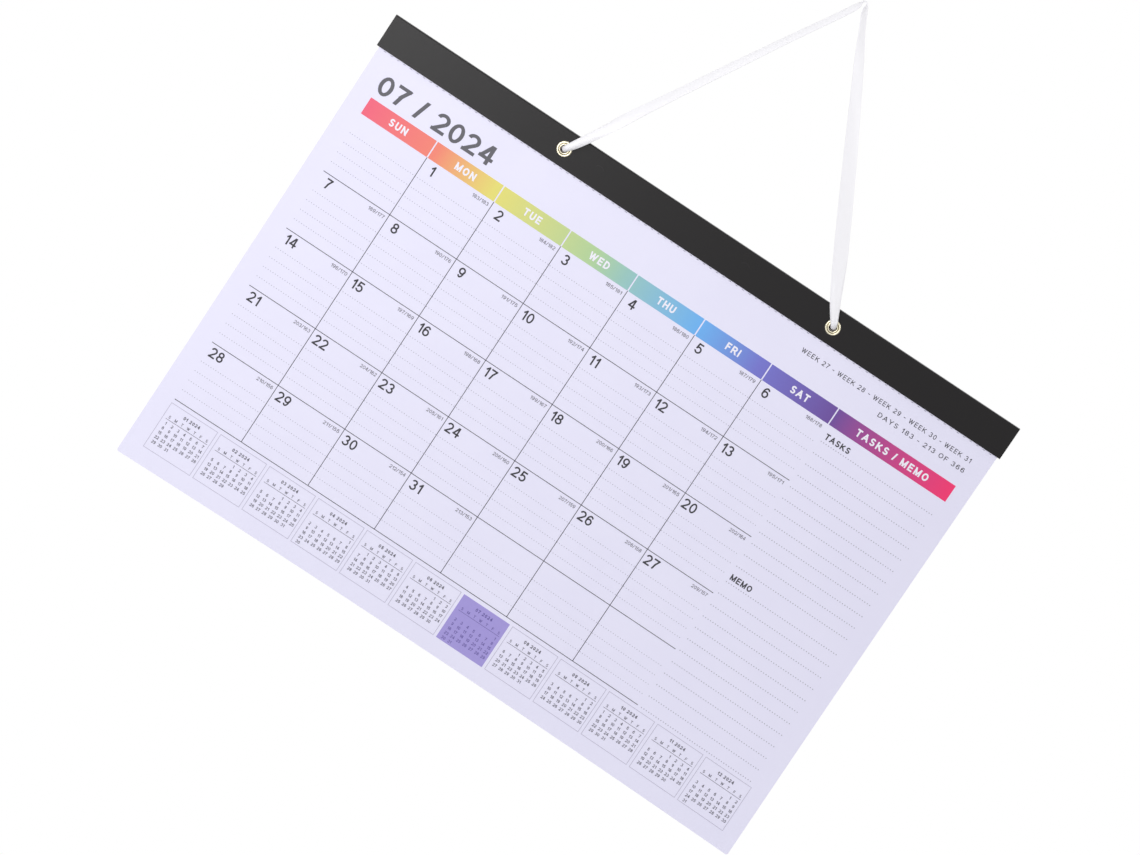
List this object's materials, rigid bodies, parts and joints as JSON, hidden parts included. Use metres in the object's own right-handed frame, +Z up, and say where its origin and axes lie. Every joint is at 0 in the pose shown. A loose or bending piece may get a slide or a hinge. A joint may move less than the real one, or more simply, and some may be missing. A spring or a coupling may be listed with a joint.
{
  "type": "wall calendar",
  "caption": "Landscape tear-off wall calendar: a pad of month sheets on a backing board, bound by a folded black strip with brass eyelets and hung by a white satin ribbon.",
  "frame": {"origin": "top of the nail, on the ribbon's middle plane, where the ribbon's loop rests on it", "axes": "+Z up along the hanging calendar, -Y out of the printed face towards the viewer, +Y into the wall, +X to the right of the printed face"},
  "size_m": [0.4356, 0.0109, 0.4647],
  "materials": {
    "sheet_paper": "smooth white printing paper",
    "grey_board": "uncoated grey board",
    "strip_cover": "black leather-look paper, fine grain, low sheen",
    "staple_wire": "zinc-plated wire",
    "eyelet_brass": "pale polished brass",
    "ribbon_satin": "white satin ribbon",
    "print_red": "printed paper, one cell of the header band",
    "print_orange": "printed paper, one cell of the header band",
    "print_lime": "printed paper, one cell of the header band",
    "print_green": "printed paper, one cell of the header band",
    "print_teal": "printed paper, one cell of the header band",
    "print_blue": "printed paper, one cell of the header band",
    "print_indigo": "printed paper, one cell of the header band",
    "print_magenta": "printed paper, one cell of the header band",
    "print_grey": "printed paper, ruled lines",
    "print_pale_grey": "printed paper, thin outlines",
    "print_lilac": "printed paper, filled box"
  },
  "bodies": {
    "root": {"page_pad": "sheet_paper", "backing_board": "grey_board", "binding_strip": "strip_cover", "binding_staples": "staple_wire", "left_eyelet": "eyelet_brass", "right_eyelet": "eyelet_brass", "left_washer": "eyelet_brass", "right_washer": "eyelet_brass", "hanging_ribbon": "ribbon_satin", "left_knot": "ribbon_satin", "right_knot": "ribbon_satin", "header_red": "print_red", "header_orange": "print_orange", "header_lime": "print_lime", "header_green": "print_green", "header_teal": "print_teal", "header_blue": "print_blue", "header_indigo": "print_indigo", "header_magenta": "print_magenta", "month_grid": "print_grey", "month_boxes": "print_pale_grey", "shown_month_box": "print_lilac"}
  },
  "joints": []
}
